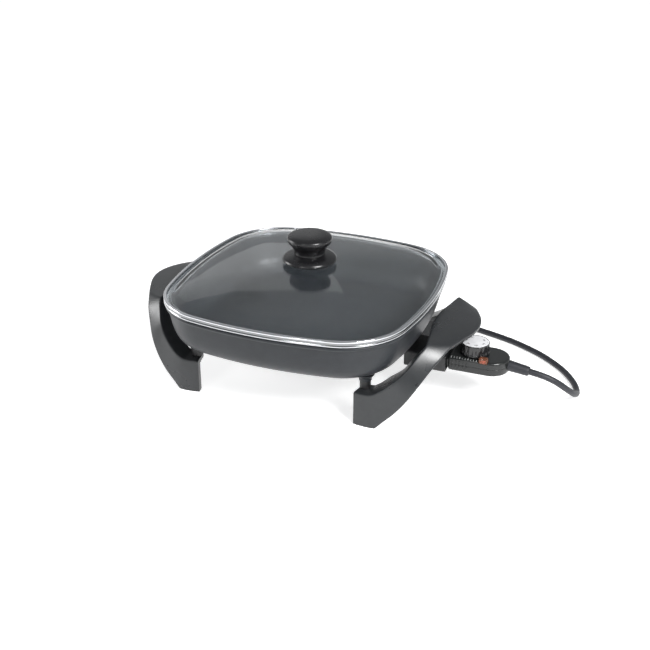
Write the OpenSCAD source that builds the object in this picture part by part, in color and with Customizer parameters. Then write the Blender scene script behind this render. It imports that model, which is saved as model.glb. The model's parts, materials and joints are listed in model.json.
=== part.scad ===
/* [Pan and lid] */
// Width and depth across the lid's steel band
skillet_w = 316; // [300:1:330]
// Radius of the four bowed sides
side_r = 480; // [440:10:560]
// Radius of the four corners
corner_r = 82; // [74:1:90]
// Height of the pan's base above the worktop
base_z = 59; // [58:0.5:60]
// Height of the pan's rim above the worktop
rim_z = 112.4; // [110:0.2:114]
// Height of the glass at the knob
dome_z = 142; // [138:1:144]

/* [Knob] */
// Radius of the knob's cap
knob_cap_r = 27; // [25:0.5:29]
// Radius of the knob's skirt
knob_skirt_r = 33; // [30:0.5:36]
// Height of the top of the knob
knob_top_z = 179.2; // [178:0.2:182]

/* [Handles] */
// Half width across the two grips
grip_x = 214; // [210:1:218]
// Height of the grips' top face
grip_z = 95; // [93:0.5:97]
// Thickness of the grips
grip_t = 5.5; // [5:0.5:6.5]
// Where a handle's screw stands, from the pan's centre
screw_x = 108; // [106:1:110]
// The same screw's distance in front of or behind the centre
screw_y = 98; // [96:1:100]

/* [Control] */
// Height of the probe and of the terminals
probe_z = 50; // [49.5:0.1:50.5]
// Width of the control's housing
control_w = 44; // [42:1:48]
// Half thickness of the control's housing
control_h = 8.8; // [8.6:0.1:9.4]
// Centre of the housing's round end
control_end_x = 230; // [229:1:232]
// Radius of the temperature dial
dial_r = 17; // [15:0.5:17]
// Height of the dial's top
dial_top_z = 73.5; // [72.5:0.5:76]
// Radius of the terminal pins
pin_r = 2; // [1.8:0.1:2.2]
// Radius of the probe
probe_r = 3; // [2.5:0.1:3.2]

/* [Cord] */
// Diameter of the cord
cord_d = 7.5; // [7:0.1:8]
// Radius of the coil at the middle of its turns
coil_r = 38; // [37.5:0.5:42]

/* [Hidden] */
$fn = 48;

half_w = skillet_w / 2;
steps = 16;                       // outline points in each quarter
grey = [0.25, 0.26, 0.28];
black = [0.06, 0.06, 0.065];
steel = [0.72, 0.73, 0.75];
dark = [0.14, 0.14, 0.15];
brass = [0.75, 0.6, 0.3];
white = [0.92, 0.92, 0.92];

// ---------- rounded-square outline ----------
// The corner arc's centre lies on the diagonal, tangent to both side arcs.
side_k = side_r - half_w;
corner_c = (-2 * side_k + sqrt(8 * pow(side_r - corner_r, 2) - 4 * side_k * side_k)) / 4;
// Angle at which a side arc meets a corner arc
meet = atan2(corner_c, corner_c + side_k);

function turn(p, a) = [p[0] * cos(a) - p[1] * sin(a), p[0] * sin(a) + p[1] * cos(a)];
function normal_angle(i) = i <= 4 ? -meet + i * meet / 2
                                  : meet + (i - 4) * (90 - 2 * meet) / (steps - 4);
function quarter_pt(a, inset) = a <= meet
    ? [half_w - side_r + (side_r - inset) * cos(a), (side_r - inset) * sin(a)]
    : [corner_c + (corner_r - inset) * cos(a), corner_c + (corner_r - inset) * sin(a)];
function outline(inset) = [for (q = [0:3], i = [0:steps - 1])
    turn(quarter_pt(normal_angle(i), inset), 90 * q)];
function ring(p) = [for (q = outline(p[0])) [q[0], q[1], p[1]]];

// Joins rings of equal length into a closed solid. Open ends are capped; a closed
// section joins the last ring to the first.
module loft(rings, closed = false) {
    n = len(rings[0]);
    m = len(rings);
    sides = [for (i = [0:(closed ? m - 1 : m - 2)], j = [0:n - 1])
        let (a = i * n, b = ((i + 1) % m) * n, k = (j + 1) % n)
        each [[a + j, b + j, b + k], [a + j, b + k, a + k]]];
    caps = closed ? [] : [[for (j = [0:n - 1]) j], [for (j = [n - 1:-1:0]) (m - 1) * n + j]];
    polyhedron([for (r = rings) each r], concat(sides, caps));
}

// ---------- pan ----------
// Sections are [inset from the band's outer face, height above the pan's base].
pan_depth = rim_z - base_z;
pan_section = [
    [47, 0], [38, 0.5], [29, 2.2], [21, 5.8], [15, 11], [11, 18], [8.2, 27], [5.8, 39],
    [4.2, 47.5], [1.8, 49], [1, 51], [1.8, 52.9], [3.4, pan_depth], [7.4, pan_depth - 0.2],
    [8.4, 51], [9.4, 42], [12, 29], [15, 20], [19.5, 13], [27, 7], [36, 4.8], [47, 4]];

module skillet_pan() {
    color(grey) loft([for (p = pan_section) ring([p[0], base_z + p[1]])]);
}

// ---------- heater under the pan ----------
loop_w = 76;                      // half width of the element's loop
loop_r = 40;                      // radius of the loop's corners
tube_r = 3.2;
tube_z = base_z - 4.4;
pin_y = 9.5;                      // each terminal's distance from the middle
knee_x = 112;                     // where a cold end starts to drop
pin_x = 124;                      // where a cold end is level with the probe

module rounded_square(w, r) {
    square([2 * w, 2 * (w - r)], center = true);
    square([2 * (w - r), 2 * w], center = true);
    for (x = [-1, 1], y = [-1, 1]) translate([x * (w - r), y * (w - r)]) circle(r);
}

module rod(p, q, r) {
    d = q - p;
    translate(p) rotate([0, acos(d[2] / norm(d)), atan2(d[1], d[0])])
        cylinder(h = norm(d), r = r);
}

module loop_solid(r) {
    for (a = [0, 90, 180]) rotate(a + 90)
        rod([loop_w, -straight, tube_z], [loop_w, straight, tube_z], r);
    for (a = [0:90:270]) rotate(a) translate([straight, straight, tube_z])
        rotate_extrude(angle = 90) translate([loop_r, 0]) circle(r, $fn = 24);
    for (y = [-1, 1]) rod([loop_w, y * straight, tube_z], [loop_w, y * pin_y, tube_z], r);
}

module element_channel() {
    color(steel) difference() {
        translate([0, 0, base_z - 5]) linear_extrude(5) difference() {
            rounded_square(loop_w + 7, loop_r + 7);
            rounded_square(loop_w - 7, loop_r - 7);
            translate([loop_w, 0]) square([30, 2 * (pin_y + bend_r)], center = true);
        }
        loop_solid(tube_r + 0.2);
        translate([0, 0, base_z - 10]) linear_extrude(tube_z - base_z + 10) difference() {
            rounded_square(loop_w + tube_r + 0.2, loop_r + tube_r + 0.2);
            rounded_square(loop_w - tube_r - 0.2, loop_r - tube_r - 0.2);
        }
    }
}

// The element's path: in along one cold end, round the loop and out along the other
bend_r = 10;
function arc(c, r, from, to, n) = [for (k = [0:n])
    let (a = from + (to - from) * k / n) [c[0] + r * cos(a), c[1] + r * sin(a), tube_z]];
straight = loop_w - loop_r;
half_loop = concat(
    [[pin_x + 3, -pin_y, probe_z], [pin_x, -pin_y, probe_z], [pin_x - 3, -pin_y, probe_z + 0.8],
     [knee_x + 2, -pin_y, tube_z - 0.6], [knee_x - 2, -pin_y, tube_z]],
    arc([loop_w + bend_r, -pin_y - bend_r], bend_r, 90, 180, 4),
    arc([straight, -straight], loop_r, 0, -90, 8),
    arc([-straight, -straight], loop_r, -90, -180, 8));

module heating_element() {
    color(dark) tube(concat(half_loop, [for (p = backward(half_loop)) flip_y(p)]), tube_r);
}

module along_x(x, y, z, h, r) {
    translate([x, y, z]) rotate([0, 90, 0]) cylinder(h = h, r = r);
}

module terminal_pins() {
    color(steel) for (y = [-pin_y, pin_y]) {
        along_x(pin_x + 3, y, probe_z, 31, pin_r);
        along_x(pin_x + 34, y, probe_z, 1, pin_r - 0.5);
    }
}

guard_x = 130;                    // inner end of the guard
guard_end_x = 181;
guard_z = 37.4;
guard_top_z = base_z - 0.3;
guard_w = 24;                     // half width

module pin_insulators() {
    color(white) for (y = [-pin_y, pin_y]) difference() {
        union() {
            along_x(pin_x + 3, y, probe_z, 9.5, 3.7);
            along_x(pin_x + 3, y, probe_z, 2.8, 4.6);
        }
        along_x(pin_x + 2, y, probe_z, 12, pin_r);
    }
}

module probe_socket() {
    color(steel) difference() {
        translate([88, -6, probe_z - 6]) cube([34, 12, base_z - probe_z + 6]);
        along_x(90, 0, probe_z, 40, probe_r + 0.3);
    }
}

module socket_guard() {
    color(black) difference() {
        union() {
            translate([guard_x, -guard_w, guard_z])
                cube([guard_end_x - guard_x, 2 * guard_w, guard_top_z - guard_z]);
            for (y = [-1, 1]) translate([107, y * 20 - 6, guard_top_z - 3.5]) {
                cube([guard_x - 106, 12, 3.5]);
            }
        }
        translate([guard_x + 2.5, 2.2 - guard_w, guard_z + 2.2])
            cube([60, 2 * guard_w - 4.4, guard_top_z - guard_z - 4.2]);
        for (y = [-pin_y, pin_y]) along_x(guard_x - 1, y, probe_z, 5, 3.8);
        along_x(guard_x - 1, 0, probe_z, 5, 5.2);
        for (y = [-20, 20]) translate([114, y, guard_z]) cylinder(h = 30, r = 2.2);
    }
}

module guard_screws() {
    color(steel) for (y = [-20, 20]) translate([114, y, 0]) {
        translate([0, 0, guard_top_z - 5.5]) cylinder(h = 2, r = 3.8);
        translate([0, 0, guard_top_z - 5.5]) cylinder(h = base_z - guard_top_z + 7.5, r = 1.9);
    }
}

// ---------- handle fixings ----------
flange_z = 42;                    // top of the handle's flange
flange_t = 5;
spacer_z = flange_z + 0.4;
spacer_top_z = 52;
head_z = flange_z - flange_t - 1.6;   // top of the screw's head

module at_corners() {
    for (x = [-1, 1], y = [-1, 1]) translate([x * screw_x, y * screw_y, 0]) children();
}

module pan_bosses() {
    color(grey) at_corners() difference() {
        translate([0, 0, spacer_top_z]) cylinder(h = base_z + 2.5 - spacer_top_z, r = 8);
        translate([0, 0, spacer_top_z - 1]) cylinder(h = base_z + 1 - spacer_top_z, r = 2);
    }
}

module heat_spacers() {
    color(black) at_corners() difference() {
        translate([0, 0, spacer_z]) cylinder(h = spacer_top_z - spacer_z, r = 6.5);
        translate([0, 0, spacer_z - 1]) cylinder(h = spacer_top_z - spacer_z + 2, r = 2.6);
    }
}

module lock_washers() {
    color(steel) at_corners() translate([0, 0, head_z]) difference() {
        cylinder(h = 1.2, r = 4.6);
        translate([0, 0, -1]) cylinder(h = 4, r = 2.7);
        translate([0, -0.5, -1]) cube([6, 1, 4]);
    }
}

module handle_screws() {
    color(steel) at_corners() {
        translate([0, 0, head_z - 3.2]) difference() {
            cylinder(h = 3.2, r = 4.5);
            translate([-2.6, -0.6, -1]) cube([5.2, 1.2, 2.4]);
            translate([-0.6, -2.6, -1]) cube([1.2, 5.2, 2.4]);
        }
        translate([0, 0, head_z]) cylinder(h = base_z - head_z, r = 2);
    }
}

// ---------- handles ----------
// Stations from the foot's inner end to the middle of the grip:
// [outer edge, inner edge, thickness, depth of the top flange]
crease = [[194.5, -58, grip_z - 7], [170, -68, grip_z]];
leg = [
    [[99, -113, -4], [99, -113, flange_z], 8.5, 24],
    [[108, -114.6, -4], [108, -114.6, flange_z], 8.5, 25],
    [[121, -115, -4], [119, -115, flange_z + 1], 8.5, 25],
    [[134, -113, 8], [129, -113, 48], 8, 23],
    [[147, -110, 21], [140, -108, 56], 7.5, 26],
    [[159, -105, 36], [150, -101, 65], 7, 24],
    [[170, -97, 53], [158, -93, 75], 6.5, 20],
    [[180, -84, 69], [164, -83, 85], 6, 16],
    [[188.5, -71, 80.5], [168, -75, 91], 6, 12],
    [crease[0], crease[1], grip_t, 9]];
grip = [
    [[197, -52.5, grip_z - 4.8], [169, -65, grip_z + 0.4], grip_t, 8],
    [[203.5, -38, grip_z - 2], [165, -40, grip_z + 1], grip_t, grip_t + 0.6],
    [[211, -19, grip_z - 0.8], [161.5, -20, grip_z + 1.4], grip_t, grip_t + 0.6],
    [[grip_x, 0, grip_z - 0.4], [160.5, 0, grip_z + 1.6], grip_t, grip_t + 0.6]];

function flip_y(p) = [p[0], -p[1], p[2]];
function mirrored(s) = [flip_y(s[0]), flip_y(s[1]), s[2], s[3]];
function backwards(v) = [for (i = [len(v) - 1:-1:0]) mirrored(v[i])];
half_path = concat(leg, grip);
path = concat(half_path, [for (i = [1:len(half_path) - 1]) backwards(half_path)[i]]);

// A point on the smooth curve through v, between v[i] and v[i + 1]
function smooth(v, i, t) =
    let (a = v[max(i - 1, 0)], b = v[i], c = v[min(i + 1, len(v) - 1)],
         d = v[min(i + 2, len(v) - 1)])
    0.5 * (2 * b + t * (c - a) + t * t * (2 * a - 5 * b + 4 * c - d)
           + t * t * t * (3 * b - a - 3 * c + d));
function unit(v) = v / norm(v);
function curve(v, per_span) = [for (i = [0:len(v) - 2], k = [0:per_span - 1])
    smooth(v, i, k / per_span), v[len(v) - 1]];

outer = curve([for (s = path) s[0]], 2);
inner = curve([for (s = path) s[1]], 2);
thick = curve([for (s = path) s[2]], 2);
flange = curve([for (s = path) s[3]], 2);
edge = 1.6;                       // rounding of the ribbon's edges

// Ribbon section at station i: visible face, top flange, back
function handle_ring(i) =
    let (last = len(outer) - 1, a = outer[i], b = inner[i], u = unit(b - a),
         mid = (outer[min(i + 1, last)] + inner[min(i + 1, last)]
                - outer[max(i - 1, 0)] - inner[max(i - 1, 0)]),
         n = unit(cross(mid, u)), t = thick[i], f = flange[i], g = min(flange_t, norm(b - a) / 3))
    [a + edge * u, b - edge * u, b - edge * n, b - f * n, b - f * n - g * u,
     b - t * n - g * u, a - t * n + edge * u / 2, a - edge * n];

module handle() {
    difference() {
        loft([for (i = [0:len(outer) - 1]) handle_ring(i)]);
        translate([50, -150, -20]) cube([200, 300, 20]);
        for (y = [-1, 1]) translate([screw_x, y * screw_y, 20])
            cylinder(h = 40, r = 2.6);
    }
}

module right_handle() { color(grey) handle(); }
module left_handle() { color(grey) mirror([1, 0, 0]) handle(); }

// ---------- lid ----------
// The band's section, [inset, height above the rim]
band_section = [
    [0.9, 1], [0, 1.9], [0.8, 4.3], [0, 7.2], [0.9, 8.3], [2.6, 8.6], [3.8, 8.1], [3.7, 7.4],
    [2, 6.9], [1.9, 2.4], [10.2, 1.9], [10.2, -3], [9.3, -3], [9.2, 0.9], [3, 1]];

module lid_band() {
    color(steel) loft([for (p = backward(band_section)) ring([p[0], rim_z + p[1]])],
                      closed = true);
}
function backward(v) = [for (i = [len(v) - 1:-1:0]) v[i]];

hole_r = 4;                       // hole in the glass for the knob's screw
// Share of the way from the hole to the glass's edge, and height above the rim
glass_top = [[1, 6.6], [0.965, 7.2], [0.935, 9.6], [0.89, 12.6], [0.8, 16.6], [0.66, 20.6],
             [0.48, 24], [0.28, 26.6], [0.1, 27.6], [0, 27.6]];
glass_under = [[0, 23.6], [0.1, 23.6], [0.28, 22.6], [0.48, 20], [0.66, 16.6], [0.8, 12.6],
               [0.885, 8.4], [0.925, 5.2], [0.95, 2.9], [1, 2.6]];

// Ring at share s of the way out, round at the hole and square at the edge
function dome_ring(s, z) = [for (p = outline(2.4))
    let (q = hole_r * unit(p)) [q[0] + s * (p[0] - q[0]), q[1] + s * (p[1] - q[1]), z]];

module lid_glass() {
    top = dome_z - rim_z - 27.6;
    color([0.6, 0.65, 0.7, 0.4])
        loft([for (p = backward(concat(glass_top, glass_under)))
              dome_ring(p[0], rim_z + p[1] + top * (1 - p[0]))], closed = true);
}

// ---------- knob ----------
gasket_top_z = dome_z + 2.4;
skirt_top_z = dome_z + 12;

module knob_gasket() {
    color(dark) translate([0, 0, dome_z]) difference() {
        cylinder(h = gasket_top_z - dome_z, r = 22);
        translate([0, 0, -1]) cylinder(h = 6, r = 3);
    }
}

module knob_skirt() {
    color(black) difference() {
        translate([0, 0, gasket_top_z]) rotate_extrude($fn = 64)
            polygon([[0, 0], [knob_skirt_r - 2, 0], [knob_skirt_r, 1.2],
                     [knob_skirt_r - 0.4, 2.6], [29, 4.4], [24, 5.8], [20, 7.4], [18, 9.6],
                     [0, skirt_top_z - gasket_top_z]]);
        translate([0, 0, dome_z]) cylinder(h = 20, r = 3);
    }
}

module lid_knob() {
    cap = knob_top_z - skirt_top_z;
    color(black) difference() {
        translate([0, 0, skirt_top_z]) rotate_extrude($fn = 64)
            polygon([[0, 0], [17.4, 0], [17, 2.4], [17.6, 5], [20, 8.6], [23.6, 12.6],
                     [knob_cap_r - 0.6, 16], [knob_cap_r, 18.4], [knob_cap_r - 1, 20.4],
                     [knob_cap_r - 4, 22.2], [14, cap - 0.6], [0, cap]]);
        translate([0, 0, skirt_top_z - 1]) cylinder(h = 14, r = 4.2);
    }
}

module knob_insert() {
    color(brass) translate([0, 0, skirt_top_z]) difference() {
        cylinder(h = 13, r = 4.2);
        translate([0, 0, -1]) cylinder(h = 12, r = 2.1);
    }
}

module knob_washer() {
    color(steel) translate([0, 0, dome_z - 5.4]) difference() {
        cylinder(h = 1.2, r = 8);
        translate([0, 0, -1]) cylinder(h = 4, r = 2.6);
    }
}

module knob_screw() {
    color(steel) translate([0, 0, dome_z - 8.6]) {
        difference() {
            cylinder(h = 3.2, r = 4.6);
            translate([-2.6, -0.6, -1]) cube([5.2, 1.2, 2.2]);
            translate([-0.6, -2.6, -1]) cube([1.2, 5.2, 2.2]);
        }
        translate([0, 0, 3.2]) cylinder(h = 26, r = 2.1);
    }
}

// ---------- temperature control ----------
body_x = 183.5;                   // where the wide housing starts
nose_x = 141;                     // inner end of the narrow nose
nose_w = 19;                      // half width of the nose
nose_h = 5.6;                     // half height of the nose
dial_x = 210;
wall = 2;
lens_x = [219.5, 230];            // ends of the indicator lens
lens_depth = 6.5;
lens_z = probe_z + 6.6;           // underside of the lens
screw_at = [[174, -13.8], [174, 13.8], [236, 0]];

module housing_outline(inset) {
    w = control_w / 2 - inset;
    translate([body_x + inset, -w]) square([control_end_x - body_x - inset, 2 * w]);
    translate([control_end_x, 0]) circle(w, $fn = 72);
}

module nose_outline(inset) {
    translate([nose_x + inset, inset - nose_w])
        square([body_x - nose_x + 4, 2 * (nose_w - inset)]);
}

module slab(z, h) { translate([0, 0, z]) linear_extrude(h) children(); }

// Grip ribs on both sides of the housing
module grip_ribs(z, h) {
    for (i = [0:4], y = [-1, 1])
        translate([188.7 + 4.3 * i, y * control_w / 2, z]) cylinder(h = h, r = 0.9, $fn = 16);
}

module lens_space(gap) {
    translate([lens_x[0] - gap, -control_w / 2 - 1, lens_z - gap])
        cube([lens_x[1] - lens_x[0] + 2 * gap, lens_depth + 1 + gap, 20]);
}

module control_top() {
    top = probe_z + control_h;
    color(black) difference() {
        union() {
            slab(probe_z + 0.1, control_h - 1.5) housing_outline(0);
            slab(probe_z + 0.1, control_h - 0.7) housing_outline(0.6);
            slab(probe_z + 0.1, control_h - 0.1) housing_outline(1.5);
            slab(probe_z + 0.1, nose_h) nose_outline(0);
            translate([dial_x, 0, top - 0.1]) cylinder(h = 0.5, r = 10);
            grip_ribs(probe_z + 0.1, 2);
        }
        slab(probe_z - 1, control_h - 0.9) housing_outline(wall);
        slab(probe_z - 1, nose_h - 0.6) nose_outline(wall);
        slab(probe_z - 1, nose_h - 0.6) translate([body_x - 4, 4 - nose_w])
            square([10, 2 * nose_w - 8]);
        translate([dial_x, 0, probe_z]) cylinder(h = 20, r = 3.3);
        lens_space(0.2);
        end_openings();
    }
    color(black) for (p = screw_at) translate([p[0], p[1], probe_z + 0.1]) difference() {
        cylinder(h = p[0] < body_x ? nose_h - 1.2 : control_h - 1.6, r = 3);
        translate([0, 0, -1]) cylinder(h = 4.4, r = 1.4);
    }
}

// Holes in the nose's inner end, and the cord's hole in the round end
module end_openings() {
    for (y = [-pin_y, pin_y]) along_x(nose_x - 1, y, probe_z, 4, 3.5);
    along_x(nose_x - 1, 0, probe_z, 4, probe_r + 0.1);
    along_x(control_end_x + 12, 0, probe_z, 20, 4.6);
}

module control_bottom() {
    low = probe_z - control_h;
    color(black) difference() {
        union() {
            slab(low + 1.5, control_h - 1.6) housing_outline(0);
            slab(low + 0.6, control_h - 0.7) housing_outline(0.7);
            slab(low, control_h - 0.1) housing_outline(1.8);
            slab(probe_z - nose_h, nose_h - 0.1) nose_outline(0);
            grip_ribs(low + 2, probe_z - low - 2.1);
        }
        slab(low + wall, control_h) housing_outline(wall);
        slab(probe_z - nose_h + 1.6, nose_h) nose_outline(wall);
        slab(probe_z - nose_h + 1.6, nose_h) translate([body_x - 4, 4 - nose_w])
            square([10, 2 * nose_w - 8]);
        end_openings();
        for (p = screw_at) translate([p[0], p[1], shell_z(p) - 1]) {
            cylinder(h = 20, r = 1.7);
            cylinder(h = 2.2, r = 2.9);
        }
    }
    color(black) for (p = screw_at) translate([p[0], p[1], shell_z(p) + 1.3]) difference() {
        cylinder(h = probe_z - shell_z(p) - 1.4, r = 3);
        translate([0, 0, -1]) cylinder(h = 20, r = 1.7);
    }
}

// Height of the lower shell's underside at a screw
function shell_z(p) = probe_z - (p[0] < body_x ? nose_h : control_h);

module shell_screws() {
    color(steel) for (p = screw_at) {
        translate([p[0], p[1], shell_z(p)]) cylinder(h = 1.2, r = 2.6);
        translate([p[0], p[1], shell_z(p)]) cylinder(h = probe_z + 3 - shell_z(p), r = 1.4);
    }
}

module indicator_lens() {
    length = lens_x[1] - lens_x[0];
    color([1, 0.45, 0.15]) translate([lens_x[0], -control_w / 2, lens_z]) difference() {
        union() {
            cube([length, lens_depth, 5.2]);
            translate([0.8, 0.8, 0]) cube([length - 1.6, lens_depth - 1.6, 6.9]);
        }
        translate([1.5, 1.5, -1]) cube([length - 3, lens_depth - 2.9, 5.5]);
    }
}

module neon_lamp() {
    color([1, 0.6, 0.35]) translate([lens_x[0] + 2.4, 3.3 - control_w / 2, lens_z + 1.7]) {
        rotate([0, 90, 0]) cylinder(h = 4.4, r = 1.5);
        translate([4.4, 0, 0]) sphere(1.5);
    }
}

module contact_carrier() {
    color([0.55, 0.45, 0.35]) difference() {
        translate([nose_x + 6, -14, probe_z - 3.8]) cube([12, 28, 7.6]);
        for (y = [-pin_y, pin_y]) along_x(nose_x, y, probe_z, 30, 3.1);
        along_x(nose_x, 0, probe_z, 30, probe_r);
    }
}

module socket_contacts() {
    color(brass) for (y = [-pin_y, pin_y]) difference() {
        along_x(nose_x + 2, y, probe_z, 22, 3.1);
        along_x(nose_x + 1, y, probe_z, 20, pin_r + 0.25);
    }
}

module probe_rod() {
    color(steel) {
        along_x(94, 0, probe_z, 74, probe_r);
        translate([94, 0, probe_z]) sphere(probe_r);
    }
}

module probe_collar() {
    color(steel) difference() {
        along_x(nose_x - 5, 0, probe_z, 4.9, 4.8);
        along_x(nose_x - 6, 0, probe_z, 8, probe_r);
    }
}

module thermostat_frame() {
    color(steel) {
        translate([161, -6.5, probe_z - 3.95]) cube([43, 13, 0.9]);
        translate([203, -6.5, probe_z - 3.95]) cube([1, 13, 8]);
    }
}

module bimetal_blade() {
    color(brass) translate([168.2, -3.5, probe_z - 1.6]) cube([31, 7, 0.8]);
}

module contact_spring() {
    color([0.7, 0.45, 0.3]) translate([172, -3.5, probe_z + 1.6]) cube([30, 7, 0.6]);
}

module contact_points() {
    color(steel) translate([196, 0, probe_z - 0.8]) {
        cylinder(h = 1.1, r = 1.8);
        translate([0, 0, 1.3]) cylinder(h = 1.1, r = 1.8);
    }
}

module inner_leads() {
    color(white) for (y = [-pin_y, pin_y])
        tube([[nose_x + 24, y, probe_z], [222, y, probe_z], [227, y * 0.95, probe_z],
              [233, y * 0.75, probe_z], [239, y * 0.45, probe_z], [244, y * 0.25, probe_z]], 1.1);
}

module scale_marks() {
    color(white) for (i = [0:10])
        translate([187 + 2.6 * i, 1.9 - control_w / 2, probe_z + control_h])
            cube([0.5, i % 5 == 0 ? 2.4 : 1.5, 0.2]);
}

// ---------- dial ----------
dial_base_z = probe_z + control_h + 0.7;

module dial_knob() {
    color(black) difference() {
        union() {
            slab(dial_base_z, dial_top_z - dial_base_z - 0.8) difference() {
                circle_at(dial_r);
                for (i = [0:17]) translate([dial_x, 0]) rotate(20 * i)
                    translate([dial_r + 1, 0]) circle(1.6, $fn = 24);
            }
            slab(dial_base_z + 1, dial_top_z - dial_base_z - 1) circle_at(dial_r - 0.7);
            slab(dial_base_z, 1.4) circle_at(dial_r);
        }
        slab(dial_top_z - 0.6, 2) circle_at(dial_r - 1.7);
        slab(dial_base_z - 1, 13) circle_at(3);
        slab(dial_base_z - 1, 9) difference() {
            circle_at(dial_r - 3);
            circle_at(5.5);
        }
    }
}
module circle_at(r) { translate([dial_x, 0]) circle(r, $fn = 64); }

module dial_face() { color(white) slab(dial_top_z - 0.6, 0.5) circle_at(dial_r - 1.7); }

module dial_marks() {
    color(black) for (i = [0:9]) translate([dial_x, 0, dial_top_z - 0.1]) rotate(28 * i - 126)
        translate([dial_r - 5, -0.35, 0]) cube([2.4, 0.7, 0.15]);
}

module dial_shaft() {
    color(steel) {
        translate([dial_x, 0, probe_z - 3]) cylinder(h = dial_base_z + 11 - probe_z, r = 3);
        translate([dial_x, 0, probe_z - 3]) cylinder(h = 1.6, r = 5.4);
    }
}

// ---------- cord ----------
cord_exit = [276, 0, 46];
coil_c = [45, 222];
floor_z = cord_d / 2 + 0.15;
route = [
    cord_exit, [287, 0, 44.4], [298, 1, 41.4], [308, 4, 36], [316.5, 9, 28.5],
    [323, 17, 20], [327, 27, 12.4], [328, 39, 7], [326, 52, 4.4], [321, 66, floor_z],
    [312, 82, floor_z], [300, 98, floor_z], [285, 113, floor_z], [268, 127, floor_z],
    [249, 139, floor_z], [228, 150, floor_z], [205, 159, floor_z], [180, 167, floor_z],
    [154, 174, floor_z], [128, 179, floor_z], [102, 182.5, floor_z], [74, 184, floor_z],
    [coil_c[0], coil_c[1] - coil_r, floor_z]];
// From the top turn down to the plug
tail = [
    [coil_c[0], coil_c[1] - coil_r, 19], [36, 183.5, 18.6], [27, 183, 17.2],
    [18, 182.5, 15], [9, 182.5, 12.6], [0, 182.5, 10.6], [-9, 182.5, 9.8], [-18, 182.5, 9.6]];
plug_x = -18;                     // the plug's cord end
plug_z = 9.6;

// Round tube swept along v; each ring stands square to the curve
function tube_ring(v, i, r, n) =
    let (t = unit(v[min(i + 1, len(v) - 1)] - v[max(i - 1, 0)]),
         side = unit(cross([0, 0, 1], t)), up = cross(t, side))
    [for (k = [0:n - 1]) v[i] + r * (cos(360 * k / n) * side + sin(360 * k / n) * up)];

module tube(v, r) { loft(backward([for (i = [0:len(v) - 1]) tube_ring(v, i, r, 10)])); }

module cord_tube() {
    color(dark) {
        tube(curve(route, 2), cord_d / 2);
        tube(tail, cord_d / 2);
    }
}

module cord_coil() {
    color(dark) translate([coil_c[0], coil_c[1], 0]) rotate_extrude()
        translate([coil_r - cord_d / 2 - 0.4, 0.1]) square([cord_d + 0.8, 22.6]);
}

module coil_tie() {
    color(dark) translate([coil_c[0], coil_c[1] + coil_r, 0]) difference() {
        translate([-3, -5.6, 0]) cube([6, 11.2, 24]);
        translate([-4, -4.5, 1.1]) cube([8, 9, 21.8]);
    }
}

relief_base = [control_end_x + 20.6, 0, 49.6];

module strain_relief() {
    along = cord_exit - relief_base;
    color(dark) {
        translate(relief_base) rotate([0, acos(along[2] / norm(along)), 0])
            cylinder(h = norm(along), r1 = 6.4, r2 = 5.5);
        along_x(control_end_x + 16, 0, probe_z, 5, 4.4);
        along_x(control_end_x + 16, 0, probe_z, 3, 6.2);
    }
}

module plug_body() {
    color(black) {
        along_x(plug_x - 10, 182.5, plug_z, 10, 5.4);
        translate([plug_x - 34, 182.5 - 12, plug_z - 9]) cube([25, 24, 18]);
    }
}

module plug_blades() {
    color(brass) for (y = [-6.35, 6.35])
        translate([plug_x - 51, 182.5 + y - 0.75, plug_z - 3.2]) cube([18, 1.5, 6.4]);
}

skillet_pan();
element_channel();
heating_element();
terminal_pins();
pin_insulators();
probe_socket();
socket_guard();
guard_screws();
pan_bosses();
heat_spacers();
handle_screws();
lock_washers();
left_handle();
right_handle();
lid_glass();
lid_band();
knob_gasket();
knob_skirt();
lid_knob();
knob_insert();
knob_washer();
knob_screw();
control_top();
control_bottom();
shell_screws();
indicator_lens();
neon_lamp();
contact_carrier();
socket_contacts();
probe_rod();
probe_collar();
thermostat_frame();
bimetal_blade();
contact_spring();
contact_points();
inner_leads();
scale_marks();
strain_relief();
dial_knob();
dial_face();
dial_marks();
dial_shaft();
cord_tube();
cord_coil();
coil_tie();
plug_body();
plug_blades();
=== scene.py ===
"""Looks for an electric skillet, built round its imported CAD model.

Sizes are in millimetres until a mesh or curve is made, where MM turns them into metres.
"""

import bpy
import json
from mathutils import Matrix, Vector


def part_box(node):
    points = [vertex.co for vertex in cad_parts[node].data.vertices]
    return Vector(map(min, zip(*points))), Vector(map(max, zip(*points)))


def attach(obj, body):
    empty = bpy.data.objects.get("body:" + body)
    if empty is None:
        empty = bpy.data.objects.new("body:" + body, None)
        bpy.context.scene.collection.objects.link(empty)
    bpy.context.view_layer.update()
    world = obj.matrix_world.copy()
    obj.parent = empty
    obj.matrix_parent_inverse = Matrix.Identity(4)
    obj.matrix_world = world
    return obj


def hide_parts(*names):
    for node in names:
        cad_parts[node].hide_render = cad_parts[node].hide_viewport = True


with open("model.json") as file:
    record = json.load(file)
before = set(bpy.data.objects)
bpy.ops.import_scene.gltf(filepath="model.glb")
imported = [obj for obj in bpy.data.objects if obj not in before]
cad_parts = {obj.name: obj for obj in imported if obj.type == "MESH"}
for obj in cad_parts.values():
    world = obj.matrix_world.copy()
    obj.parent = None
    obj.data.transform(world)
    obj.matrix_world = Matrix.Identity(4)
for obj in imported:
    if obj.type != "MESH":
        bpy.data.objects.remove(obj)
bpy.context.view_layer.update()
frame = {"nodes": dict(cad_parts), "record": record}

import json
import math

import bmesh
import bpy
from mathutils import Matrix, Vector

MM = 0.001


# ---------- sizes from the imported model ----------
def node_box(node):
    low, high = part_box(node)
    return low / MM, high / MM


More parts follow.
